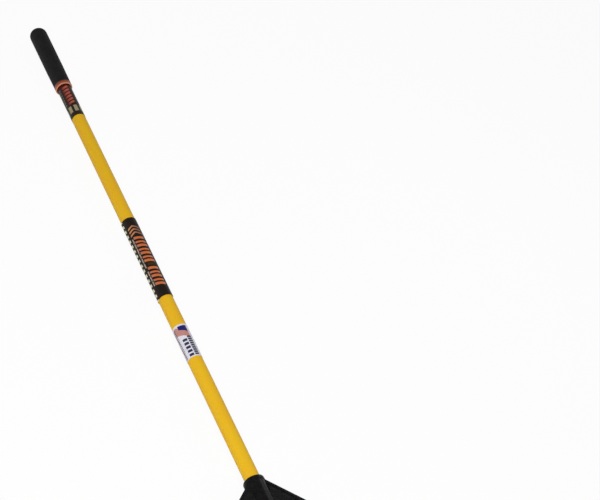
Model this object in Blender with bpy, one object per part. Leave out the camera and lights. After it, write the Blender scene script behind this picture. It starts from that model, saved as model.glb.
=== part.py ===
"""A lawn rake: a moulded fan head, a round fibreglass handle and a cushion grip.

The model is drawn along its handle first: +Y runs from the socket's mouth to
the grip, +X runs across the head and +Z stands on the head's upper face.
One empty then lays the whole rake down, with every tine tip and the grip's
end on the ground at Z = 0. All lengths are in metres.
"""
import math

import bmesh
import bpy
from mathutils import Matrix, Vector

MM = 0.001
INCH = 0.0254

# Clearances
GAP = 0.3 * MM
LABEL_GAP = 0.15 * MM
SCREW_CLEARANCE = 0.3 * MM

# Round shapes
ROUND_SIDES = 48
SMALL_SIDES = 24
LIP_STEPS = 4
DOME_STEPS = 6

# Handle tube and the plug that stiffens it inside the socket
HANDLE_DIAMETER = 28.6 * MM
HANDLE_WALL = 3.2 * MM
HANDLE_LENGTH = 54 * INCH
HANDLE_EDGE = 0.6 * MM
PLUG_LENGTH = 165 * MM
PLUG_EDGE = 1.0 * MM

# Socket of the head
SOCKET_DEPTH = 147 * MM
SOCKET_WALL = 3.7 * MM
SOCKET_LIP = 3.5 * MM
COLLAR_HEIGHT = 1.4 * MM
COLLAR_LENGTH = 9 * MM
COLLAR_SLOPE = 1.2 * MM
SOCKET_FLOOR = 6 * MM
SOCKET_BORE_PASS = 3.5 * MM
NOSE_LENGTH = 72 * MM
NOSE_END_RADIUS = 1.2 * MM
NOSE_STEPS = 6

# Flanks that blend the barrel into the web: they rise behind the collar and run out before the nose
FLANK_ANGLE = math.radians(35)
FLANK_SINK = 0.4 * MM
FLANK_RISE = 13 * MM
FLANK_STOP = 23 * MM

# Web of the head, seen from above as a fan
FAN_APEX = 7.0 * MM
FAN_HALF_ANGLE = math.radians(45.9)
WEB_RADIUS = 200 * MM
WEB_TOP = 9.5 * MM
WEB_THICKNESS = 3.0 * MM
WEB_START_SHARE = 0.6
WEB_ARC_STEPS = 26

# Raised rim along both shoulders, and the keels under the web
RIM_WIDTH = 4.5 * MM
RIM_TOP = 11.3 * MM
RIM_BOTTOM = 2.0 * MM
RIM_END_HEIGHT = 1.1 * MM
RIM_WEB_SHARES = (0.5, 0.9)
RIM_END_SHARES = (0.05, 0.12, 0.20)
KEEL_ANGLES = [math.radians(a) for a in (-30, -15, 15, 30)]
KEEL_WIDTH = 3.0 * MM
KEEL_DEPTH = 12 * MM
KEEL_END_DEPTH = 1.5 * MM
KEEL_START = 30 * MM
KEEL_END = 185 * MM

# Tines
HEAD_WIDTH = 30 * INCH
HEAD_LENGTH = 565 * MM
TINE_COUNT = 27
TIP_ARC_DEPTH = 70 * MM
TIP_HALF_ANGLE = math.radians(27)
TINE_ROOT_WIDTH = 8.5 * MM
TINE_TIP_WIDTH = 9.5 * MM
TINE_THICKNESS = 2.6 * MM
TINE_CROWN = 0.4 * MM
TINE_DROOP = 8 * MM
RIB_WIDTH = 2.6 * MM
RIB_HEIGHT = 3.4 * MM
RIB_TIP_HEIGHT = 0.8 * MM
RIB_DRAFT = 0.5 * MM
RIB_START_LONG = 78 * MM
RIB_START_SHORT = 128 * MM
RIB_START_WIDTH = 4.0 * MM
RIB_START_HEIGHT = 0.5 * MM
RIB_RUN_UP = 12 * MM
FLAT_STEPS = 7
HOOK_ANGLE = math.radians(78)
HOOK_RADIUS = 30 * MM
HOOK_STEPS = 8
TIP_DROP = 55 * MM

# Band that ties the tines together
BRACE_PLACE = 0.46
BRACE_WIDTH = 9 * MM
BRACE_THICKNESS = 2.6 * MM
BRACE_SINK = 1.2 * MM

# Screw that holds the handle in the socket, from below
SCREW_PLACE = 88 * MM
SCREW_SHANK = 4.8 * MM
SCREW_LENGTH = 18 * MM
SCREW_POINT = 4 * MM
SCREW_HEAD = 9.5 * MM
SCREW_HEAD_HEIGHT = 3.0 * MM
SCREW_HEAD_RIM = 1.35 * MM
SCREW_CROWN_EDGE = 0.36 * MM
SCREW_CROWN_RADIUS = 3.4 * MM
SCREW_CROWN_FLAT = 2.1 * MM
SCREW_RECESS_WIDTH = 1.2 * MM
SCREW_RECESS_LENGTH = 5.4 * MM
SCREW_RECESS_DEPTH = 1.6 * MM
BOSS_DIAMETER = 15 * MM
BOSS_HEIGHT = 1.6 * MM

# Grip and the bright ring on its lower end
GRIP_DIAMETER = 37.9 * MM
GRIP_LOW_DIAMETER = 36.5 * MM
GRIP_COVER = 175.7 * MM
GRIP_SWELL_START = 70 * MM
GRIP_END_THICKNESS = 7.4 * MM
GRIP_DOME = 16 * MM
GRIP_DOME_FULLNESS = 0.8
GRIP_SWELL_STEPS = 4
RING_LENGTH = 10.6 * MM
RING_EDGE_FLAT = 0.4 * MM
RING_BORE_CLEARANCE = 1.2 * MM

# Labels and the sleeve: the lower two by their distance from the socket, the top one from the ring
LABEL_THICKNESS = 0.25 * MM
SMALL_LABEL_BOTTOM = 274.5 * MM
SMALL_LABEL_LENGTH = 78 * MM
SMALL_LABEL_WRAP = math.radians(270)
SMALL_LABEL_TURN = math.radians(-30)
SLEEVE_BOTTOM = 427 * MM
SLEEVE_LENGTH = 207 * MM
SLEEVE_THICKNESS = 0.85 * MM
SLEEVE_EDGE = 0.3 * MM
TOP_LABEL_LENGTH = 104.2 * MM
TOP_LABEL_CLEARANCE = 2.4 * MM

# Values that follow from the sizes above
HANDLE_RADIUS = HANDLE_DIAMETER / 2
PLUG_RADIUS = HANDLE_RADIUS - HANDLE_WALL - GAP
SOCKET_BORE = HANDLE_RADIUS + GAP
SOCKET_RADIUS = SOCKET_BORE + SOCKET_WALL
COLLAR_RADIUS = SOCKET_RADIUS + COLLAR_HEIGHT
HANDLE_BOTTOM = -SOCKET_DEPTH
HANDLE_TOP = HANDLE_BOTTOM + HANDLE_LENGTH
SOCKET_END = HANDLE_BOTTOM - GAP - SOCKET_FLOOR
WEB_MIDDLE = WEB_TOP - WEB_THICKNESS / 2
GRIP_BOTTOM = HANDLE_TOP - GRIP_COVER
RING_BOTTOM = GRIP_BOTTOM - GAP - RING_LENGTH
GRIP_END = HANDLE_TOP + GAP + GRIP_END_THICKNESS
GRIP_RADIUS = GRIP_DIAMETER / 2
LABEL_OUTSIDE = HANDLE_RADIUS + LABEL_GAP + LABEL_THICKNESS
SCREW_SEAT = -SOCKET_RADIUS - BOSS_HEIGHT


def dome_profile():
    """The grip's rounded end: points (y, radius) from its side to its middle."""
    start = GRIP_END - GRIP_DOME
    points = []
    for step in range(DOME_STEPS + 1):
        angle = math.pi / 2 * step / DOME_STEPS
        # A power under one makes the round a little fuller, as on a cushion grip
        radius = GRIP_RADIUS * math.cos(angle) ** GRIP_DOME_FULLNESS
        points.append((start + GRIP_DOME * math.sin(angle), radius))
    points[-1] = (GRIP_END, 0.0)
    return points


def ground_slope():
    """The angle between the handle and the ground: the grip's end touches down."""
    angles = []
    for along, radius in dome_profile()[:-1]:
        angles.append(math.atan2(TIP_DROP - radius, along + HEAD_LENGTH))
    return min(angles)


GROUND_SLOPE = ground_slope()


def ground_height(along):
    """Height of the ground under the handle's axis, in the handle's frame."""
    return -TIP_DROP + math.tan(GROUND_SLOPE) * (along + HEAD_LENGTH)


def clear_scene():
    for item in list(bpy.data.objects):
        bpy.data.objects.remove(item, do_unlink=True)


def material(name, colour, roughness, metallic=0.0):
    made = bpy.data.materials.new(name)
    made.use_nodes = True
    shader = made.node_tree.nodes["Principled BSDF"]
    shader.inputs["Base Color"].default_value = (*colour, 1.0)
    shader.inputs["Roughness"].default_value = roughness
    shader.inputs["Metallic"].default_value = metallic
    return made


def add_object(name, shape, parent, look=None, smooth_angle=None):
    """Turns a bmesh into a named object under the rake's empty."""
    bmesh.ops.recalc_face_normals(shape, faces=shape.faces)
    mesh = bpy.data.meshes.new(name)
    shape.to_mesh(mesh)
    shape.free()
    if look:
        mesh.materials.append(look)
    if smooth_angle is not None:
        mesh.shade_smooth()
        mesh.set_sharp_from_angle(angle=smooth_angle)
    made = bpy.data.objects.new(name, mesh)
    bpy.context.scene.collection.objects.link(made)
    made.parent = parent
    return made


def hide_tool(item):
    """A shape that only cuts or joins: it is not a piece of the rake."""
    item.hide_render = True
    item.display_type = "WIRE"
    return item


def cut(item, tool):
    modifier = item.modifiers.new("cut_" + tool.name, "BOOLEAN")
    modifier.operation = "DIFFERENCE"
    modifier.object = tool


def combine(item, operation, tools):
    """Joins or cuts an object with several tools in one step."""
    group = bpy.data.collections.new(f"{item.name}_{operation.lower()}")
    bpy.context.scene.collection.children.link(group)
    for tool in tools:
        bpy.context.scene.collection.objects.unlink(tool)
        group.objects.link(hide_tool(tool))
    modifier = item.modifiers.new(operation.lower(), "BOOLEAN")
    modifier.operation = operation
    modifier.operand_type = "COLLECTION"
    modifier.collection = group


def turned(profile, sides, closed, axis="Y"):
    """Turns a profile of (along, radius) points about the Y axis, or about Z."""
    shape = bmesh.new()
    ring = [shape.verts.new((radius, along, 0.0)) for along, radius in profile]
    edges = [shape.edges.new(pair) for pair in zip(ring, ring[1:])]
    if closed:
        edges.append(shape.edges.new((ring[-1], ring[0])))
    bmesh.ops.spin(
        shape, geom=ring + edges, cent=(0, 0, 0), axis=(0, 1, 0),
        angle=2 * math.pi, steps=sides, use_merge=True)
    bmesh.ops.remove_doubles(shape, verts=shape.verts, dist=1e-6)
    if axis == "Z":
        bmesh.ops.rotate(
            shape, verts=shape.verts, cent=(0, 0, 0),
            matrix=Matrix.Rotation(math.pi / 2, 3, "X"))
    return shape


def bar(rings):
    """A closed bar through a row of rings with equal numbers of corners."""
    shape = bmesh.new()
    rows = [[shape.verts.new(corner) for corner in ring] for ring in rings]
    for row, following in zip(rows, rows[1:]):
        for index in range(len(row)):
            after = (index + 1) % len(row)
            shape.faces.new((row[index], row[after], following[after], following[index]))
    shape.faces.new(reversed(rows[0]))
    shape.faces.new(rows[-1])
    bmesh.ops.triangulate(shape, faces=[rowface for rowface in shape.faces if len(rowface.verts) > 4])
    return shape


def tube_profile(bottom, top, inside, outside, edge):
    """A tube's wall, with its outer corners taken off by a small edge."""
    return [
        (bottom, inside), (bottom, outside - edge), (bottom + edge, outside),
        (top - edge, outside), (top, outside - edge), (top, inside)]


def fan_point(radius, angle, height):
    """A point at a radius and an angle about the fan's apex."""
    return Vector((radius * math.sin(angle), FAN_APEX - radius * math.cos(angle), height))


def handle_tube(parent):
    look = material("yellow_fibreglass", (0.80, 0.43, 0.028), 0.42)
    profile = tube_profile(
        HANDLE_BOTTOM, HANDLE_TOP, HANDLE_RADIUS - HANDLE_WALL, HANDLE_RADIUS, HANDLE_EDGE)
    made = add_object(
        "handle_tube", turned(profile, ROUND_SIDES, True), parent, look, math.radians(30))
    cut(made, screw_hole("handle_screw_hole", parent))
    return made


def core_plug(parent):
    look = material("plug_wood", (0.52, 0.34, 0.17), 0.75)
    bottom = HANDLE_BOTTOM + GAP
    top = bottom + PLUG_LENGTH
    profile = [
        (bottom, 0.0), (bottom, PLUG_RADIUS - PLUG_EDGE), (bottom + PLUG_EDGE, PLUG_RADIUS),
        (top - PLUG_EDGE, PLUG_RADIUS), (top, PLUG_RADIUS - PLUG_EDGE), (top, 0.0)]
    made = add_object(
        "core_plug", turned(profile, ROUND_SIDES, False), parent, look, math.radians(30))
    cut(made, screw_hole("plug_screw_hole", parent))
    return made


def screw_hole(name, parent):
    """A round tool along the screw, a clearance wider and longer than its shank."""
    radius = SCREW_SHANK / 2 + SCREW_CLEARANCE
    bottom = SCREW_SEAT - BOSS_HEIGHT
    top = SCREW_SEAT + SCREW_LENGTH + SCREW_CLEARANCE
    profile = [(bottom, 0.0), (bottom, radius), (top, radius), (top, 0.0)]
    tool = add_object(name, turned(profile, SMALL_SIDES, False, "Z"), parent)
    tool.location = (0, -SCREW_PLACE, 0)
    return hide_tool(tool)


def head_screw(parent):
    look = material("screw_steel", (0.62, 0.62, 0.60), 0.35, 1.0)
    top = SCREW_SEAT + SCREW_LENGTH
    shank = SCREW_SHANK / 2
    under = SCREW_SEAT - GAP
    crown = under - SCREW_HEAD_HEIGHT
    profile = [
        (top, 0.0), (top - SCREW_POINT, shank), (under, shank), (under, SCREW_HEAD / 2),
        (under - SCREW_HEAD_RIM, SCREW_HEAD / 2), (crown + SCREW_CROWN_EDGE, SCREW_CROWN_RADIUS),
        (crown, SCREW_CROWN_FLAT), (crown, 0.0)]
    made = add_object(
        "head_screw", turned(profile, SMALL_SIDES, False, "Z"), parent, look, math.radians(35))
    made.location = (0, -SCREW_PLACE, 0)
    for index, (across, along) in enumerate((
            (SCREW_RECESS_LENGTH, SCREW_RECESS_WIDTH), (SCREW_RECESS_WIDTH, SCREW_RECESS_LENGTH))):
        cross = bmesh.new()
        bmesh.ops.create_cube(cross, size=1.0)
        bmesh.ops.scale(cross, verts=cross.verts, vec=(across, along, 2 * SCREW_RECESS_DEPTH))
        tool = hide_tool(add_object(f"screw_recess_{index}", cross, parent))
        tool.location = (0, -SCREW_PLACE, crown)
        cut(made, tool)
    return made


def socket_shape():
    """The barrel with its rounded collar, and a nose that rises and runs out in the web."""
    profile = [(0.0, 0.0), (0.0, COLLAR_RADIUS - SOCKET_LIP)]
    for step in range(1, LIP_STEPS + 1):
        angle = math.pi / 2 * step / LIP_STEPS
        profile.append((
            -SOCKET_LIP * (1 - math.cos(angle)), COLLAR_RADIUS - SOCKET_LIP * (1 - math.sin(angle))))
    profile += [(-COLLAR_LENGTH + COLLAR_SLOPE, COLLAR_RADIUS), (-COLLAR_LENGTH, SOCKET_RADIUS)]
    for step in range(NOSE_STEPS + 1):
        share = step / NOSE_STEPS
        radius = SOCKET_RADIUS + (NOSE_END_RADIUS - SOCKET_RADIUS) * smooth_share(share)
        profile.append((SOCKET_END - NOSE_LENGTH * share, radius))
    profile.append((SOCKET_END - NOSE_LENGTH, 0.0))
    shape = turned(profile, ROUND_SIDES, False)
    for corner in shape.verts:
        share = (SOCKET_END - corner.co.y) / NOSE_LENGTH
        if share > 0:
            corner.co.z += WEB_MIDDLE * smooth_share(share)
    return shape


def smooth_share(share):
    """A share from 0 to 1 that starts and ends gently."""
    return share * share * (3 - 2 * share)


def flank_shape(side):
    """A ramp from the barrel's shoulder down to the web, which sinks into both at its two ends."""
    def barrel_point(angle, depth):
        radius = SOCKET_RADIUS - depth
        return radius * math.sin(angle) * side, radius * math.cos(angle)

    web_inside = WEB_TOP - FLANK_SINK
    meeting = math.acos(WEB_TOP / SOCKET_RADIUS)
    inner = barrel_point(meeting, SOCKET_WALL / 2)
    rings = []
    for along, angle in (
            (-COLLAR_LENGTH, meeting), (-COLLAR_LENGTH - FLANK_RISE, FLANK_ANGLE),
            (SOCKET_END + FLANK_STOP, meeting)):
        upper = barrel_point(angle, FLANK_SINK)
        run = (upper[1] - web_inside) / math.tan(FLANK_ANGLE)
        foot = upper[0] + side * (run + FLANK_SINK)
        corners = [inner, upper, (foot, web_inside), (foot, WEB_MIDDLE)]
        rings.append([Vector((across, along, height)) for across, height in corners])
    return bar(rings)


def web_shape():
    """The flat fan between the shoulders."""
    start = SOCKET_RADIUS * WEB_START_SHARE / math.sin(FAN_HALF_ANGLE)
    outline = [fan_point(start, FAN_HALF_ANGLE, 0), fan_point(start, -FAN_HALF_ANGLE, 0)]
    for step in range(WEB_ARC_STEPS + 1):
        angle = FAN_HALF_ANGLE * (2 * step / WEB_ARC_STEPS - 1)
        outline.append(fan_point(WEB_RADIUS, angle, 0))
    lower = [Vector((p.x, p.y, WEB_TOP - WEB_THICKNESS)) for p in outline]
    upper = [Vector((p.x, p.y, WEB_TOP)) for p in outline]
    return bar([lower, upper])


def box_ring(centre, sideways, bottom, top, width):
    """Four corners of an upright bar's section."""
    half = sideways * width / 2
    return [
        Vector((centre.x - half.x, centre.y - half.y, bottom)),
        Vector((centre.x + half.x, centre.y + half.y, bottom)),
        Vector((centre.x + half.x, centre.y + half.y, top)),
        Vector((centre.x - half.x, centre.y - half.y, top))]


def tine_angle(index):
    """Angle of a tine's root about the fan's apex; the outer tines follow the shoulders."""
    inset = math.asin(TINE_ROOT_WIDTH / 2 / WEB_RADIUS)
    share = 2 * index / (TINE_COUNT - 1) - 1
    return (FAN_HALF_ANGLE - inset) * share


def hook_straight(along):
    """Length of the straight end of a hook whose bend starts at this place."""
    bend_end = WEB_MIDDLE - TINE_DROOP - HOOK_RADIUS * (1 - math.cos(HOOK_ANGLE))
    return (bend_end - ground_height(along)) / math.sin(HOOK_ANGLE)


def hook_reach():
    """How far a hook reaches forward of the place where its bend starts."""
    straight = hook_straight(-HEAD_LENGTH)
    return HOOK_RADIUS * math.sin(HOOK_ANGLE) + straight * math.cos(HOOK_ANGLE)


def tine_curve(index):
    """Four control points of a tine's run, seen from above, up to its hook."""
    share = 2 * index / (TINE_COUNT - 1) - 1
    half_span = (HEAD_WIDTH - TINE_TIP_WIDTH) / 2
    arc_radius = (half_span ** 2 + TIP_ARC_DEPTH ** 2) / (2 * TIP_ARC_DEPTH)
    across = half_span * share
    along = -HEAD_LENGTH + arc_radius - math.sqrt(arc_radius ** 2 - across ** 2)
    end_angle = TIP_HALF_ANGLE * share
    end_way = Vector((math.sin(end_angle), -math.cos(end_angle), 0))
    end = Vector((across, along, 0)) - end_way * hook_reach()
    root = fan_point(WEB_RADIUS, tine_angle(index), 0)
    root_way = Vector((math.sin(tine_angle(index)), -math.cos(tine_angle(index)), 0))
    third = (end - root).length / 3
    return root, root + root_way * third, end - end_way * third, end


def curve_point(controls, share):
    """Place and direction at a share of a cubic curve."""
    a, b, c, d = controls
    left = 1 - share
    place = a * left ** 3 + b * 3 * left ** 2 * share + c * 3 * left * share ** 2 + d * share ** 3
    way = (b - a) * left ** 2 + (c - b) * 2 * left * share + (d - c) * share ** 2
    return place, way.normalized()


def tine_height(share):
    """Height of a tine's middle: level at the web, then drooping to the hook."""
    return WEB_MIDDLE - TINE_DROOP * share * share


def tine_ring(centre, way, sideways, width, rib):
    """Eight corners of a tine's section: a strip with a rib on its upper face."""
    up = way.cross(sideways)
    half = TINE_THICKNESS / 2
    edge = half - TINE_CROWN
    corners = [
        (-width / 2, -half), (width / 2, -half), (width / 2, edge), (RIB_WIDTH / 2 + RIB_DRAFT, half),
        (RIB_WIDTH / 2, half + rib), (-RIB_WIDTH / 2, half + rib),
        (-RIB_WIDTH / 2 - RIB_DRAFT, half), (-width / 2, edge)]
    return [centre + sideways * across + up * height for across, height in corners]


def tine_shape(index):
    """One tine, from its rib's start on the web to its tip on the ground."""
    controls = tine_curve(index)
    angle = tine_angle(index)
    rings = []
    start = RIB_START_LONG if index % 2 else RIB_START_SHORT
    root_way = Vector((math.sin(angle), -math.cos(angle), 0))
    root_side = Vector((math.cos(angle), math.sin(angle), 0))
    for along, height in ((start, RIB_START_HEIGHT), (start + RIB_RUN_UP, RIB_HEIGHT)):
        centre = fan_point(along, angle, WEB_MIDDLE)
        rings.append(tine_ring(centre, root_way, root_side, RIB_START_WIDTH, height))
    for step in range(FLAT_STEPS + 1):
        share = step / FLAT_STEPS
        place, way = curve_point(controls, share)
        sideways = Vector((-way.y, way.x, 0))
        slope = -2 * TINE_DROOP * share / (controls[3] - controls[0]).length
        run = Vector((way.x, way.y, slope)).normalized()
        place.z = tine_height(share)
        width = TINE_ROOT_WIDTH + (TINE_TIP_WIDTH - TINE_ROOT_WIDTH) * share
        rings.append(tine_ring(place, run, sideways, width, RIB_HEIGHT))
    bend_start = place.copy()
    for step in range(1, HOOK_STEPS + 1):
        share = step / HOOK_STEPS
        turn = HOOK_ANGLE * share
        place = bend_start + way * HOOK_RADIUS * math.sin(turn)
        place.z -= HOOK_RADIUS * (1 - math.cos(turn))
        run = Vector((way.x * math.cos(turn), way.y * math.cos(turn), -math.sin(turn)))
        rib = RIB_HEIGHT + (RIB_TIP_HEIGHT - RIB_HEIGHT) * share
        rings.append(tine_ring(place, run, sideways, TINE_TIP_WIDTH, rib))
    rings.append([on_ground(corner, run) for corner in rings[-1]])
    return bar(rings)


def on_ground(corner, run):
    """Where a line from a corner along a direction meets the ground."""
    height = corner.z - ground_height(corner.y)
    sink = -run.z + math.tan(GROUND_SLOPE) * run.y
    return corner + run * (height / sink)


def rim_shape(side):
    """The rim along one shoulder, from the barrel out along the outer tine until it runs out."""
    angle = FAN_HALF_ANGLE * side
    outward = Vector((math.cos(angle), math.sin(angle), 0)) * side
    start = SOCKET_BORE / math.sin(FAN_HALF_ANGLE)
    middles = [
        (fan_point(radius, angle, 0) - outward * RIM_WIDTH / 2, outward)
        for radius in [start] + [WEB_RADIUS * share for share in RIM_WEB_SHARES]]
    controls = tine_curve(0 if side < 0 else TINE_COUNT - 1)
    for share in RIM_END_SHARES:
        place, way = curve_point(controls, share)
        across = Vector((-way.y, way.x, 0)) * side
        middles.append((place + across * (TINE_ROOT_WIDTH - RIM_WIDTH) / 2, across))
    rings = []
    for index, (middle, across) in enumerate(middles):
        share = smooth_share(index / (len(middles) - 1))
        top = RIM_TOP + (WEB_MIDDLE + RIM_END_HEIGHT - RIM_TOP) * share
        bottom = RIM_BOTTOM + (WEB_MIDDLE - RIM_END_HEIGHT - RIM_BOTTOM) * share
        rings.append(box_ring(middle, across * side, bottom, top, RIM_WIDTH))
    return bar(rings)


def keel_shape(angle):
    """An upright rib under the web, deep at the barrel and shallow at the tines."""
    sideways = Vector((math.cos(angle), math.sin(angle), 0))
    rings = []
    for radius, depth in ((KEEL_START, KEEL_DEPTH), (KEEL_END, KEEL_END_DEPTH)):
        centre = fan_point(radius, angle, 0)
        rings.append(box_ring(centre, sideways, WEB_TOP - WEB_THICKNESS - depth, WEB_MIDDLE, KEEL_WIDTH))
    return bar(rings)


def brace_shape():
    """The band that crosses all the tines and ends in the two outer ones."""
    places = []
    for index in range(TINE_COUNT):
        place, way = curve_point(tine_curve(index), BRACE_PLACE)
        places.append((place, way))
    top = tine_height(BRACE_PLACE) + TINE_THICKNESS / 2 - BRACE_SINK
    rings = []
    for place, way in places:
        half = way * BRACE_WIDTH / 2
        rings.append([
            Vector((place.x - half.x, place.y - half.y, top - BRACE_THICKNESS)),
            Vector((place.x + half.x, place.y + half.y, top - BRACE_THICKNESS)),
            Vector((place.x + half.x, place.y + half.y, top)),
            Vector((place.x - half.x, place.y - half.y, top))])
    return bar(rings)


def screw_boss_shape():
    """The round pad under the barrel that the screw's head sits on."""
    radius = BOSS_DIAMETER / 2
    inner = -SOCKET_BORE - SOCKET_WALL / 2
    profile = [(inner, 0.0), (inner, radius), (SCREW_SEAT, radius), (SCREW_SEAT, 0.0)]
    shape = turned(profile, SMALL_SIDES, False, "Z")
    bmesh.ops.translate(shape, verts=shape.verts, vec=(0, -SCREW_PLACE, 0))
    return shape


def rake_head(parent):
    """The one-piece moulding: barrel, flanks, web, rims, keels, tines and brace."""
    look = material("black_moulding", (0.016, 0.016, 0.016), 0.40)
    shapes = {"web": web_shape(), "brace": brace_shape(), "screw_boss": screw_boss_shape()}
    for side, name in ((-1, "left"), (1, "right")):
        shapes[f"rim_{name}"] = rim_shape(side)
        shapes[f"flank_{name}"] = flank_shape(side)
    for index, angle in enumerate(KEEL_ANGLES):
        shapes[f"keel_{index}"] = keel_shape(angle)
    for index in range(TINE_COUNT):
        shapes[f"tine_{index}"] = tine_shape(index)
    pieces = [add_object("head_" + name, shape, parent) for name, shape in shapes.items()]
    bottom = HANDLE_BOTTOM - GAP
    top = SOCKET_BORE_PASS
    bore = [(bottom, 0.0), (bottom, SOCKET_BORE), (top, SOCKET_BORE), (top, 0.0)]
    cuts = [
        add_object("socket_bore", turned(bore, ROUND_SIDES, False), parent),
        screw_hole("head_screw_hole", parent)]
    made = add_object("rake_head", socket_shape(), parent, look, math.radians(35))
    combine(made, "UNION", pieces)
    combine(made, "DIFFERENCE", cuts)
    return made


def grip_sleeve(parent):
    look = material("grip_rubber", (0.013, 0.013, 0.013), 0.62)
    bore = HANDLE_RADIUS + GAP
    profile = [
        (HANDLE_TOP + GAP, 0.0), (HANDLE_TOP + GAP, bore), (GRIP_BOTTOM, bore),
        (GRIP_BOTTOM, GRIP_LOW_DIAMETER / 2)]
    for step in range(1, GRIP_SWELL_STEPS + 1):
        share = step / GRIP_SWELL_STEPS
        diameter = GRIP_LOW_DIAMETER + (GRIP_DIAMETER - GRIP_LOW_DIAMETER) * smooth_share(share)
        radius = diameter / 2
        profile.append((GRIP_BOTTOM + GRIP_SWELL_START * share, radius))
    profile += dome_profile()
    return add_object(
        "grip_sleeve", turned(profile, ROUND_SIDES, False), parent, look, math.radians(40))


def grip_ring(parent):
    look = material("orange_ring", (0.52, 0.15, 0.045), 0.45)
    outside = GRIP_LOW_DIAMETER / 2
    inside = LABEL_OUTSIDE + RING_BORE_CLEARANCE
    rounding = outside - inside - RING_EDGE_FLAT
    top = RING_BOTTOM + RING_LENGTH
    profile = [(top, inside), (RING_BOTTOM, inside)]
    for step in range(LIP_STEPS + 1):
        angle = math.pi / 2 * step / LIP_STEPS
        profile.append((
            RING_BOTTOM + rounding * (1 - math.cos(angle)),
            outside - rounding * (1 - math.sin(angle))))
    profile.append((top, outside))
    return add_object(
        "grip_ring", turned(profile, ROUND_SIDES, True), parent, look, math.radians(40))


def middle_sleeve(parent):
    look = material("black_sleeve", (0.014, 0.014, 0.015), 0.45)
    inside = HANDLE_RADIUS + GAP
    profile = tube_profile(
        SLEEVE_BOTTOM, SLEEVE_BOTTOM + SLEEVE_LENGTH, inside, inside + SLEEVE_THICKNESS, SLEEVE_EDGE)
    return add_object(
        "middle_sleeve", turned(profile, ROUND_SIDES, True), parent, look, math.radians(50))


def top_label(parent):
    look = material("black_label", (0.015, 0.014, 0.014), 0.45)
    top = RING_BOTTOM + RING_LENGTH - TOP_LABEL_CLEARANCE
    bottom = top - TOP_LABEL_LENGTH
    inside = HANDLE_RADIUS + LABEL_GAP
    profile = [(bottom, inside), (bottom, LABEL_OUTSIDE), (top, LABEL_OUTSIDE), (top, inside)]
    return add_object(
        "top_label", turned(profile, ROUND_SIDES, True), parent, look, math.radians(50))


def small_label(parent):
    """A label that goes most of the way round, with its open side below."""
    look = material("white_label", (0.72, 0.72, 0.74), 0.40)
    steps = round(ROUND_SIDES * SMALL_LABEL_WRAP / (2 * math.pi))
    inside = HANDLE_RADIUS + LABEL_GAP
    rings = []
    for step in range(steps + 1):
        angle = SMALL_LABEL_TURN + SMALL_LABEL_WRAP * (step / steps - 0.5)
        out = Vector((math.sin(angle), 0, math.cos(angle)))
        bottom = Vector((0, SMALL_LABEL_BOTTOM, 0))
        top = Vector((0, SMALL_LABEL_BOTTOM + SMALL_LABEL_LENGTH, 0))
        rings.append([
            bottom + out * inside, bottom + out * LABEL_OUTSIDE,
            top + out * LABEL_OUTSIDE, top + out * inside])
    return add_object("small_label", bar(rings), parent, look, math.radians(50))


def lay_down(frame, pieces):
    """Tilts the rake onto its tips and grip, and centres it over the origin."""
    frame.rotation_euler = (-GROUND_SLOPE, 0, 0)
    bpy.context.view_layer.update()
    corners = []
    graph = bpy.context.evaluated_depsgraph_get()
    for piece in pieces:
        seen = piece.evaluated_get(graph)
        corners += [seen.matrix_world @ vertex.co for vertex in seen.data.vertices]
    low = [min(corner[axis] for corner in corners) for axis in range(3)]
    high = [max(corner[axis] for corner in corners) for axis in range(3)]
    frame.location = (-(low[0] + high[0]) / 2, -(low[1] + high[1]) / 2, -low[2])
    bpy.context.view_layer.update()


def main():
    clear_scene()
    frame = bpy.data.objects.new("rake_frame", None)
    bpy.context.scene.collection.objects.link(frame)
    pieces = [
        rake_head(frame), handle_tube(frame), core_plug(frame), head_screw(frame),
        grip_sleeve(frame), grip_ring(frame), middle_sleeve(frame), top_label(frame),
        small_label(frame)]
    lay_down(frame, pieces)


main()
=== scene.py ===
"""The leaf rake's looks: materials, printed films, floor, lights and camera.

Printed films and streaks are laid out in millimetres on the unrolled handle:
"along" counts from the socket's mouth to the grip, and "around" is the arc
from the handle's top line, positive to the right of someone facing the grip.
"""
import math

import bmesh
import bpy
from mathutils import Matrix, Vector


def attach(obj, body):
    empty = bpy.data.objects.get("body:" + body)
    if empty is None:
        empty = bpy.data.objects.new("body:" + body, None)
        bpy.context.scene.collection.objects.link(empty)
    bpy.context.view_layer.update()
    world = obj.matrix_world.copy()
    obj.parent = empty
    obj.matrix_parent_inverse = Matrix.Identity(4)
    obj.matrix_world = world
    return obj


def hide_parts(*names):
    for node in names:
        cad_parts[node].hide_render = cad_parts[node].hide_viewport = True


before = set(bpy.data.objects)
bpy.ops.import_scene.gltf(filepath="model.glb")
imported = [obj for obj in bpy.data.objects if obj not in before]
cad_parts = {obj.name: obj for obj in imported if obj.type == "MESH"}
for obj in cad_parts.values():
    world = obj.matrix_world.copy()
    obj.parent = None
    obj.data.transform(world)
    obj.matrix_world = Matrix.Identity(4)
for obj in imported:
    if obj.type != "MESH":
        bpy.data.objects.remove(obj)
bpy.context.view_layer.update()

# How the handle lies in the part: its slope, and the middle of the socket's mouth
HANDLE_SLOPE = math.radians(-1.1594)
SOCKET_MOUTH = (0.0, -0.331947, 0.043557)
HANDLE = Matrix.Translation(SOCKET_MOUTH) @ Matrix.Rotation(HANDLE_SLOPE, 4, "X")

MM_PER_METRE = 1000

# In millimetres: the films' outer radius, where round the handle two of their patterns start,
# and the ring's two ends along the handle
SLEEVE_RADIUS = 15.45
LABEL_RADIUS = 14.7
SLEEVE_PATTERN_START = -36.0
TOP_PATTERN_START = -40.0
RING_BOTTOM = 1038.0
RING_TOP = 1048.6

# Meshes: lengths under this are the same place, and edges over this angle stay sharp
SAME = 0.000001
SHARP_ANGLE = math.radians(32)
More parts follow.
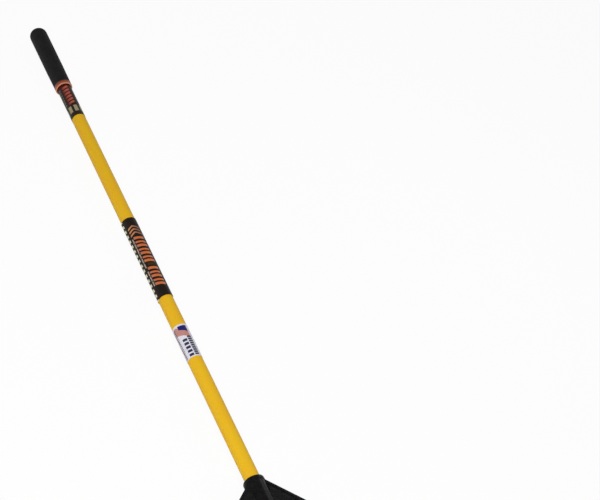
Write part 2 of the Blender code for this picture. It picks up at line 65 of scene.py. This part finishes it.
# Faces that turn by less than this are merged, and the largest pieces take a smaller turn
MERGE_ANGLE = math.radians(0.4)
HEAD_MERGE_ANGLE = math.radians(0.1)
TUBE_MERGE_ANGLE = math.radians(0.03)
# How many cuts each short edge round the handle gets
ROUND_CUTS = 2

# Camera, in the handle's frame
CAMERA_PLACE = Vector((-1.22236, -1.23724, 1.95432))
CAMERA_RIGHT = Vector((0.8568, -0.4038, 0.3217))
CAMERA_UP = Vector((0.0727, 0.7114, 0.6991))
CAMERA_LENS = 90.0
CAMERA_SENSOR = 36.0
CAMERA_NEAR = 0.05

# Lights: their turn about the handle from its top line, then along and away from it
WORLD_STRENGTH = 0.31
KEY_TURN = math.radians(-29)
KEY_ALONG = -1.1
KEY_AWAY = 2.8
KEY_SIZE = (1.6, 1.6)
KEY_POWER = 75.0
SIDE_TURN = math.radians(50)
SIDE_ALONG = 0.70
SIDE_AWAY = 1.3
SIDE_SIZE = (0.3, 0.3)
SIDE_POWER = 1.5

# Studio: a flat floor just under the rake, that sweeps up into a low wall all round
FLOOR_DROP = 0.0004
FLOOR_INNER_REACH = 4.5
FLOOR_REACH = 9.0
FLOOR_SIDES = 64
FLOOR_GREY = 0.86
FLOOR_GLOW = 0.93
SWEEP_RADIUS = 2.0
SWEEP_STEPS = 8
WALL_TOP = 5.0


def srgb(red, green, blue):
    """A colour given as 0 to 255, as a shader takes it."""
    def linear(value):
        share = value / 255
        return share / 12.92 if share <= 0.04045 else ((share + 0.055) / 1.055) ** 2.4
    return (linear(red), linear(green), linear(blue), 1.0)


class Look:
    """One material, with short calls for the nodes that it is made of."""

    def __init__(self, name, colour, roughness, specular, metallic=0.0):
        self.made = bpy.data.materials.new(name)
        self.made.use_nodes = True
        self.tree = self.made.node_tree
        self.shader = self.tree.nodes["Principled BSDF"]
        for socket, value in (
                ("Base Color", colour), ("Roughness", roughness),
                ("Specular IOR Level", specular), ("Metallic", metallic)):
            self.shader.inputs[socket].default_value = value

    def feed(self, value, socket):
        """Links a socket to another, or sets a constant on it."""
        if isinstance(value, bpy.types.NodeSocket):
            self.tree.links.new(value, socket)
        else:
            socket.default_value = value

    def math(self, operation, *values):
        node = self.tree.nodes.new("ShaderNodeMath")
        node.operation = operation
        for value, socket in zip(values, node.inputs):
            self.feed(value, socket)
        return node.outputs[0]

    def mix(self, factor, first, second):
        node = self.tree.nodes.new("ShaderNodeMix")
        node.data_type = "RGBA"
        self.feed(factor, node.inputs["Factor"])
        self.feed(first, [s for s in node.inputs if s.name == "A" and s.type == "RGBA"][0])
        self.feed(second, [s for s in node.inputs if s.name == "B" and s.type == "RGBA"][0])
        return [s for s in node.outputs if s.type == "RGBA"][0]

    def ease(self, value, low, high, start=0.0, end=1.0):
        """A smooth step of the value from low to high."""
        node = self.tree.nodes.new("ShaderNodeMapRange")
        node.interpolation_type = "SMOOTHSTEP"
        self.feed(value, node.inputs["Value"])
        limits = (("From Min", low), ("From Max", high), ("To Min", start), ("To Max", end))
        for name, number in limits:
            node.inputs[name].default_value = number
        return node.outputs["Result"]

    def band(self, value, low, high, soft=0.3):
        """One between low and high, nothing outside, with soft edges."""
        rise = self.ease(value, low - soft, low + soft)
        fall = self.ease(value, high - soft, high + soft, 1.0, 0.0)
        return self.math("MULTIPLY", rise, fall)

    def every(self, *factors):
        """The product of several factors."""
        result = factors[0]
        for factor in factors[1:]:
            result = self.math("MULTIPLY", result, factor)
        return result

    def bands(self, value, spans):
        """One in any of several bands, given as pairs of low and high."""
        result = self.band(value, *spans[0])
        for span in spans[1:]:
            result = self.math("MAXIMUM", result, self.band(value, *span))
        return result

    def handle_place(self):
        """Place in the handle's frame, as a vector in millimetres."""
        coordinates = self.tree.nodes.new("ShaderNodeTexCoord")
        mapping = self.tree.nodes.new("ShaderNodeMapping")
        self.tree.links.new(coordinates.outputs["Object"], mapping.inputs["Vector"])
        to_handle = HANDLE.inverted()
        mapping.inputs["Location"].default_value = to_handle.translation * MM_PER_METRE
        mapping.inputs["Rotation"].default_value = to_handle.to_euler()
        mapping.inputs["Scale"].default_value = (MM_PER_METRE, MM_PER_METRE, MM_PER_METRE)
        return mapping.outputs["Vector"]

    def split(self, vector):
        """The X, Y and Z of a vector."""
        node = self.tree.nodes.new("ShaderNodeSeparateXYZ")
        self.tree.links.new(vector, node.inputs["Vector"])
        return node.outputs

    def stretched(self, vector, factors):
        """A vector with each part multiplied, to draw noise out along one way."""
        node = self.tree.nodes.new("ShaderNodeVectorMath")
        node.operation = "MULTIPLY"
        self.tree.links.new(vector, node.inputs[0])
        node.inputs[1].default_value = factors
        return node.outputs["Vector"]

    def noise(self, vector, scale, detail=3.0, roughness=0.5):
        node = self.tree.nodes.new("ShaderNodeTexNoise")
        self.tree.links.new(vector, node.inputs["Vector"])
        node.inputs["Scale"].default_value = scale
        node.inputs["Detail"].default_value = detail
        node.inputs["Roughness"].default_value = roughness
        return node.outputs["Fac"]

    def bump(self, height, distance):
        """A relief from a factor, its full height given in metres."""
        node = self.tree.nodes.new("ShaderNodeBump")
        node.inputs["Distance"].default_value = distance
        self.tree.links.new(height, node.inputs["Height"])
        self.tree.links.new(node.outputs["Normal"], self.shader.inputs["Normal"])

    def colour(self, value):
        self.feed(value, self.shader.inputs["Base Color"])

    def roughness(self, value):
        self.feed(value, self.shader.inputs["Roughness"])


def wear(thing, look):
    """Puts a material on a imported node, or on a piece that stands for one."""
    thing.data.materials.clear()
    thing.data.materials.append(look.made)


def round_out(made, cuts):
    """Cuts the short edges that go round the handle, and moves the new points out to the true radius."""
    reach = made.verts.layers.float.new("reach")
    for vertex in made.verts:
        vertex[reach] = math.hypot(vertex.co.x, vertex.co.z)
    round_edges = []
    for edge in made.edges:
        first, second = edge.verts
        same_place = abs(first.co.y - second.co.y) < SAME
        if same_place and abs(first[reach] - second[reach]) < SAME and first[reach] > SAME:
            round_edges.append(edge)
    bmesh.ops.subdivide_edges(made, edges=round_edges, cuts=cuts, use_grid_fill=True)
    for vertex in made.verts:
        radius = math.hypot(vertex.co.x, vertex.co.z)
        if radius > SAME:
            vertex.co.x *= vertex[reach] / radius
            vertex.co.z *= vertex[reach] / radius
    made.verts.layers.float.remove(reach)


def refined(node_name, cuts=ROUND_CUTS, merge_angle=MERGE_ANGLE):
    """A smooth-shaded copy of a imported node, its near flat triangles merged, which stands for it."""
    made = bmesh.new()
    made.from_mesh(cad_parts[node_name].data)
    made.transform(HANDLE.inverted())
    bmesh.ops.remove_doubles(made, verts=made.verts, dist=SAME)
    bmesh.ops.dissolve_limit(made, angle_limit=merge_angle, verts=made.verts, edges=made.edges)
    if cuts:
        round_out(made, cuts)
    made.transform(HANDLE)
    mesh = bpy.data.meshes.new(node_name + "_fine")
    made.to_mesh(mesh)
    made.free()
    if "custom_normal" in mesh.attributes:
        mesh.attributes.remove(mesh.attributes["custom_normal"])
    mesh.shade_smooth()
    mesh.set_sharp_from_angle(angle=SHARP_ANGLE)
    piece = bpy.data.objects.new(node_name + "_fine", mesh)
    bpy.context.scene.collection.objects.link(piece)
    weights = piece.modifiers.new("weights", "WEIGHTED_NORMAL")
    weights.keep_sharp = True
    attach(piece, "root")
    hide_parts(node_name)
    return piece


def yellow_fibreglass():
    """Yellow resin with fine streaks along the handle."""
    look = Look("yellow_fibreglass", srgb(231, 182, 34), 0.5, 0.12)
    place = look.handle_place()
    fibres = look.noise(look.stretched(place, (1.2, 0.012, 1.2)), 1.0, 4.0, 0.6)
    patches = look.noise(look.stretched(place, (0.05, 0.02, 0.05)), 1.0)
    ground = look.mix(look.ease(patches, 0.3, 0.7), srgb(233, 181, 33), srgb(232, 187, 31))
    streaks = look.ease(fibres, 0.3, 0.7, 0.0, 0.35)
    look.colour(look.mix(streaks, ground, srgb(220, 167, 30)))
    look.roughness(look.ease(fibres, 0.2, 0.8, 0.44, 0.58))
    look.bump(fibres, 0.00006)
    return look


def black_moulding():
    """Black plastic with a fine grain, a little uneven in shade and gloss."""
    look = Look("black_moulding", srgb(19, 19, 19), 0.25, 0.07)
    place = look.handle_place()
    grain = look.noise(place, 1.6, 3.0, 0.6)
    mottle = look.noise(place, 0.10, 4.0, 0.6)
    look.colour(look.mix(look.ease(mottle, 0.3, 0.7), srgb(15, 15, 16), srgb(25, 25, 24)))
    look.roughness(look.ease(mottle, 0.3, 0.7, 0.20, 0.30))
    look.bump(grain, 0.00010)
    return look


def grip_rubber():
    """Dull black cushion with a pebbled skin."""
    look = Look("grip_rubber", srgb(22, 22, 22), 0.75, 0.15)
    place = look.handle_place()
    pebbles = look.noise(place, 0.9, 4.0, 0.65)
    mottle = look.noise(place, 0.06)
    look.colour(look.mix(look.ease(mottle, 0.3, 0.7), srgb(20, 20, 20), srgb(25, 25, 25)))
    look.bump(pebbles, 0.0004)
    return look


def orange_ring():
    """Orange plastic, with a painted highlight on its pale lower lip and painted shade darkening it
    towards the grip.
    """
    look = Look("orange_ring", srgb(150, 70, 40), 0.42, 0.3)
    place = look.handle_place()
    along = look.split(place)["Y"]
    mottle = look.noise(place, 0.2, 4.0)
    body = look.mix(look.ease(mottle, 0.3, 0.7), srgb(140, 64, 36), srgb(158, 78, 46))
    # Painted shade: the body darkens towards the grip, where the ring meets it
    darker = look.ease(along, RING_TOP - 5.6, RING_TOP - 0.1)
    body = look.mix(darker, body, srgb(64, 26, 16))
    # Painted highlight: the lower lip is painted pale peach, as if lit
    past_painted_lip_highlight = look.ease(along, RING_BOTTOM - 1.0, RING_BOTTOM + 3.0)
    look.colour(look.mix(past_painted_lip_highlight, srgb(232, 156, 120), body))
    look.bump(look.noise(place, 1.5, 2.0), 0.00008)
    return look


def screw_steel():
    """Zinc-plated steel, a little uneven in shade and gloss."""
    look = Look("screw_steel", srgb(170, 170, 165), 0.35, 0.5, 1.0)
    mottle = look.noise(look.handle_place(), 0.9)
    look.colour(look.mix(mottle, srgb(150, 150, 146), srgb(196, 196, 190)))
    look.roughness(look.ease(mottle, 0.3, 0.7, 0.25, 0.45))
    return look


def plug_wood():
    """Bare wood with its grain along the handle."""
    look = Look("plug_wood", srgb(190, 156, 112), 0.8, 0.2)
    grain = look.noise(look.stretched(look.handle_place(), (0.9, 0.03, 0.9)), 1.0, 4.0)
    look.colour(look.mix(look.ease(grain, 0.35, 0.65), srgb(172, 134, 90), srgb(206, 172, 128)))
    look.bump(grain, 0.0002)
    return look


class Film(Look):
    """A printed film round the handle, painted area by area on its unrolled surface."""

    def __init__(self, name, radius, paper, shade, roughness, specular):
        super().__init__(name, paper, roughness, specular)
        self.place = self.handle_place()
        right, self.along, up = self.split(self.place)
        self.around = self.math("MULTIPLY", self.math("ARCTAN2", right, up), radius)
        self.ink = self.mix(self.noise(self.place, 0.2), paper, shade)

    def repeat(self, value, start, pitch):
        """Position within one repeat of a pattern, from 0 to the pitch."""
        return self.math("FLOORED_MODULO", self.math("SUBTRACT", value, start), pitch)

    def lean(self, value, across, slope):
        """A coordinate that shifts by a slope as it goes across."""
        return self.math("ADD", value, self.math("MULTIPLY", across, slope))

    def area(self, low, high, left, right, across, soft=0.3):
        """A rectangle, from low to high along the handle and from left to right across."""
        return self.every(self.band(self.along, low, high, soft), self.band(across, left, right, soft))

    def paint(self, mask, colour):
        self.ink = self.mix(mask, self.ink, colour)
        self.colour(self.ink)


def paint_sleeve_bars(film, across):
    """Slanted bars in three groups, a wide and a narrow one in each repeat, and a dim patch."""
    slanted = film.lean(film.along, across, 0.2)
    groups = film.bands(slanted, ((460.0, 508.5), (520.6, 557.5), (560.8, 589.5)))
    orange = film.mix(film.ease(across, 23, 32), srgb(194, 132, 104), srgb(224, 122, 62))
    orange = film.mix(film.ease(across, 33, 43), orange, srgb(222, 158, 130))
    orange = film.mix(film.noise(film.place, 0.35), orange, srgb(178, 88, 48))
    pitch = 20.2
    bars = film.bands(film.repeat(slanted, 460.2, pitch), ((0.6, 6.8), (10.8, 15.4)))
    film.paint(film.every(groups, bars, film.band(across, 22.4, 42.8)), orange)
    patch = film.every(film.band(slanted, 511.5, 518.0, 1.0), film.band(across, 26.0, 39.0, 1.0))
    film.paint(patch, srgb(62, 44, 22))


def paint_sleeve_chevrons(film, across):
    """Three chevrons above the bars."""
    middle = 30.5
    pitch = 8.4
    fold = film.math("ABSOLUTE", film.math("SUBTRACT", across, middle))
    peaked = film.lean(film.along, fold, 0.5)
    rows = film.band(film.repeat(peaked, 591.6, pitch), 0.4, 4.3)
    patch = film.every(film.band(peaked, 591.2, 613.4), film.band(across, 19.4, 43.0))
    tan = film.mix(film.ease(across, 22, 36), srgb(206, 140, 98), srgb(156, 106, 80))
    film.paint(film.every(patch, rows), tan)


def paint_sleeve_dashes(film, across):
    """A dashed pale line beside the bars, with one gap."""
    pitch = 13.1
    for low, high in ((456.0, 495.3), (503.0, 581.6)):
        dashes = film.band(film.repeat(film.along, low, pitch), 0.6, 12.0)
        line = film.area(low, high, 18.0, 20.7, across)
        film.paint(film.every(line, dashes), srgb(166, 150, 138))


def paint_sleeve_checks(film, across):
    """Two rows of checks along the whole sleeve, the second row one check further on."""
    check = 6.55
    rise = film.math("SUBTRACT", film.lean(film.along, across, 0.4), 432.9)
    for left, right, start in ((0.9, 5.5, 0.0), (5.5, 13.8, check)):
        step = film.repeat(rise, start, 2 * check)
        checks = film.every(film.band(step, 0.0, check, 0.1), film.band(across, left, right, 0.1))
        film.paint(checks, srgb(232, 224, 192))


def sleeve_film():
    """Black with slanted orange bars, chevrons and a checker strip, twice round the sleeve."""
    film = Film("sleeve_film", SLEEVE_RADIUS, srgb(27, 21, 18), srgb(40, 33, 27), 0.4, 0.08)
    across = film.repeat(film.around, SLEEVE_PATTERN_START, math.pi * SLEEVE_RADIUS)
    paint_sleeve_bars(film, across)
    paint_sleeve_chevrons(film, across)
    paint_sleeve_dashes(film, across)
    paint_sleeve_checks(film, across)
    return film


def top_film():
    """Black with a red panel of slanted bars, twice round, over a row of pale blocks, with a painted
    shadow under the ring.
    """
    film = Film("top_film", LABEL_RADIUS, srgb(32, 27, 22), srgb(48, 40, 34), 0.4, 0.08)
    half_round = math.pi * LABEL_RADIUS
    across = film.repeat(film.around, TOP_PATTERN_START, half_round)
    # Under the ring: the red panel carried on, with the painted shadow of the ring's bore darkening it
    film.paint(film.area(1030.5, 1050.0, 15.0, 46.0, across, 1.2), srgb(70, 16, 8))
    film.paint(film.area(975.0, 1032.0, 24.0, 43.5, across), srgb(62, 28, 20))
    # Six whole bars in the panel
    bar_pitch = 9.4
    slanted = film.lean(film.along, across, -0.3)
    red = film.mix(film.ease(across, 26, 36), srgb(118, 52, 40), srgb(176, 90, 76))
    panel = film.every(film.band(slanted, 967.5, 1021.8), film.band(across, 26.8, 40.8))
    bars = film.band(film.repeat(slanted, 967.2, bar_pitch), 0.8, 6.8)
    film.paint(film.every(panel, bars), red)
    # Seven pale blocks round the handle
    block_pitch = 2 * half_round / 7
    blocks = film.band(film.repeat(film.around, -6.3, block_pitch), 0.0, 8.0)
    film.paint(film.every(film.band(film.along, 953.5, 971.5), blocks), srgb(158, 147, 114))
    # A column of short grey dashes beside the panel
    dash_pitch = 7.7
    dashes = film.band(film.repeat(film.along, 940.0, dash_pitch), 1.0, 4.6)
    film.paint(film.every(film.area(976.0, 1030.0, 16.5, 21.5, across), dashes), srgb(104, 100, 90))
    return film


def small_film():
    """White with a salmon band, a blue block and rows of plain bars."""
    film = Film("small_film", LABEL_RADIUS, srgb(214, 212, 224), srgb(230, 228, 236), 0.4, 0.2)
    around = film.around
    salmon = film.mix(film.noise(film.place, 0.25), srgb(178, 120, 118), srgb(202, 146, 132))
    sweep = film.lean(film.along, around, 0.42)
    band = film.every(film.band(sweep, 322.5, 341.0), film.area(321, 348.5, -23, 5.6, around))
    film.paint(band, salmon)
    block = film.every(film.area(334, 348.8, -11.8, 5.2, around), film.ease(sweep, 335.2, 335.8))
    film.paint(block, srgb(28, 32, 104))
    # Rows of plain bars, from the same start, each to its own height
    start = 277.0
    for left, right, pitch, bar, high, ink in (
            (-13.2, -4.2, 8.8, 5.6, 320.0, srgb(44, 44, 74)),
            (-2.2, 6.2, 5.2, 4.3, 323.4, srgb(50, 54, 76)),
            (-27.0, -19.6, 4.4, 2.8, 346.2, srgb(106, 97, 102)),
            (11.0, 23.5, 3.4, 1.3, 338.0, srgb(66, 68, 96))):
        rows = film.band(film.repeat(film.along, start, pitch), 0.0, bar, 0.2)
        film.paint(film.every(film.area(start - 0.4, high, left, right, around), rows), ink)
    return film


def make_camera():
    data = bpy.data.cameras.new("camera")
    data.lens = CAMERA_LENS
    data.sensor_width = CAMERA_SENSOR
    data.clip_start = CAMERA_NEAR
    camera = bpy.data.objects.new("camera", data)
    back = CAMERA_RIGHT.cross(CAMERA_UP).normalized()
    right = CAMERA_RIGHT.normalized()
    up = back.cross(right)
    turn = Matrix((right, up, back)).transposed().to_4x4()
    camera.matrix_world = HANDLE @ Matrix.Translation(CAMERA_PLACE) @ turn
    bpy.context.scene.collection.objects.link(camera)
    bpy.context.scene.camera = camera


def soft_light(name, turn, along, away, size, power):
    """A soft light off the handle's side, facing the socket's mouth, its width going round."""
    place = Vector((away * math.sin(turn), along, away * math.cos(turn)))
    data = bpy.data.lights.new(name, "AREA")
    data.shape = "RECTANGLE"
    data.size, data.size_y = size
    data.energy = power
    light = bpy.data.objects.new(name, data)
    back = place.normalized()
    across = Vector((0, 1, 0)).cross(back).normalized()
    turned = Matrix((across, back.cross(across), back)).transposed().to_4x4()
    light.matrix_world = HANDLE @ Matrix.Translation(place) @ turned
    bpy.context.scene.collection.objects.link(light)


def seen_directly(tree):
    """One for camera, glossy and transmission rays."""
    path = tree.nodes.new("ShaderNodeLightPath")
    total = path.outputs["Is Camera Ray"]
    for name in ("Is Glossy Ray", "Is Transmission Ray"):
        node = tree.nodes.new("ShaderNodeMath")
        node.operation = "MAXIMUM"
        tree.links.new(total, node.inputs[0])
        tree.links.new(path.outputs[name], node.inputs[1])
        total = node.outputs[0]
    return total


def make_world():
    world = bpy.data.worlds.new("dim_room")
    world.use_nodes = True
    background = world.node_tree.nodes["Background"]
    background.inputs["Color"].default_value = (1, 1, 1, 1)
    background.inputs["Strength"].default_value = WORLD_STRENGTH
    bpy.context.scene.world = world


def floor_white():
    """White to the camera and in reflections, but darker where the rake shades it."""
    made = bpy.data.materials.new("floor_white")
    made.use_nodes = True
    tree = made.node_tree
    tree.nodes.clear()
    diffuse = tree.nodes.new("ShaderNodeBsdfDiffuse")
    diffuse.inputs["Color"].default_value = (FLOOR_GREY, FLOOR_GREY, FLOOR_GREY, 1)
    glow = tree.nodes.new("ShaderNodeEmission")
    glow.inputs["Color"].default_value = (1, 1, 1, 1)
    share = tree.nodes.new("ShaderNodeMath")
    share.operation = "MULTIPLY"
    tree.links.new(seen_directly(tree), share.inputs[0])
    share.inputs[1].default_value = FLOOR_GLOW
    blend = tree.nodes.new("ShaderNodeMixShader")
    tree.links.new(share.outputs[0], blend.inputs[0])
    tree.links.new(diffuse.outputs[0], blend.inputs[1])
    tree.links.new(glow.outputs[0], blend.inputs[2])
    output = tree.nodes.new("ShaderNodeOutputMaterial")
    tree.links.new(blend.outputs[0], output.inputs["Surface"])
    return made


def floor_profile():
    """Reach and height of the floor's rings, from the flat part to the top of the wall."""
    profile = [(FLOOR_INNER_REACH, 0.0)]
    for step in range(SWEEP_STEPS + 1):
        turn = math.pi / 2 * step / SWEEP_STEPS
        reach = FLOOR_REACH + SWEEP_RADIUS * math.sin(turn)
        profile.append((reach, SWEEP_RADIUS * (1 - math.cos(turn))))
    profile.append((FLOOR_REACH + SWEEP_RADIUS, WALL_TOP))
    return profile


def make_floor():
    """A round floor whose edge sweeps up into the wall."""
    made = bmesh.new()
    middle = made.verts.new((0, 0, 0))
    turns = [2 * math.pi * side / FLOOR_SIDES for side in range(FLOOR_SIDES)]
    rings = []
    for reach, height in floor_profile():
        rings.append([made.verts.new((reach * math.cos(t), reach * math.sin(t), height)) for t in turns])
    for side in range(FLOOR_SIDES):
        after = (side + 1) % FLOOR_SIDES
        made.faces.new((middle, rings[0][side], rings[0][after]))
        for inner, outer in zip(rings, rings[1:]):
            made.faces.new((inner[side], outer[side], outer[after], inner[after]))
    mesh = bpy.data.meshes.new("floor")
    made.to_mesh(mesh)
    made.free()
    mesh.shade_smooth()
    mesh.materials.append(floor_white())
    floor = bpy.data.objects.new("floor", mesh)
    floor.location.z = -FLOOR_DROP
    bpy.context.scene.collection.objects.link(floor)


make_camera()
make_world()
make_floor()
soft_light("key", KEY_TURN, KEY_ALONG, KEY_AWAY, KEY_SIZE, KEY_POWER)
soft_light("side", SIDE_TURN, SIDE_ALONG, SIDE_AWAY, SIDE_SIZE, SIDE_POWER)

head = refined("rake_head", cuts=0, merge_angle=HEAD_MERGE_ANGLE)
wear(head, black_moulding())
tube = refined("handle_tube", merge_angle=TUBE_MERGE_ANGLE)
wear(tube, yellow_fibreglass())
wear(refined("grip_sleeve"), grip_rubber())
wear(refined("grip_ring"), orange_ring())
wear(refined("head_screw"), screw_steel())
wear(refined("middle_sleeve"), sleeve_film())
wear(refined("top_label"), top_film())
wear(refined("small_label"), small_film())
wear(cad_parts["core_plug"], plug_wood())

bpy.context.scene.view_settings.view_transform = "Standard"
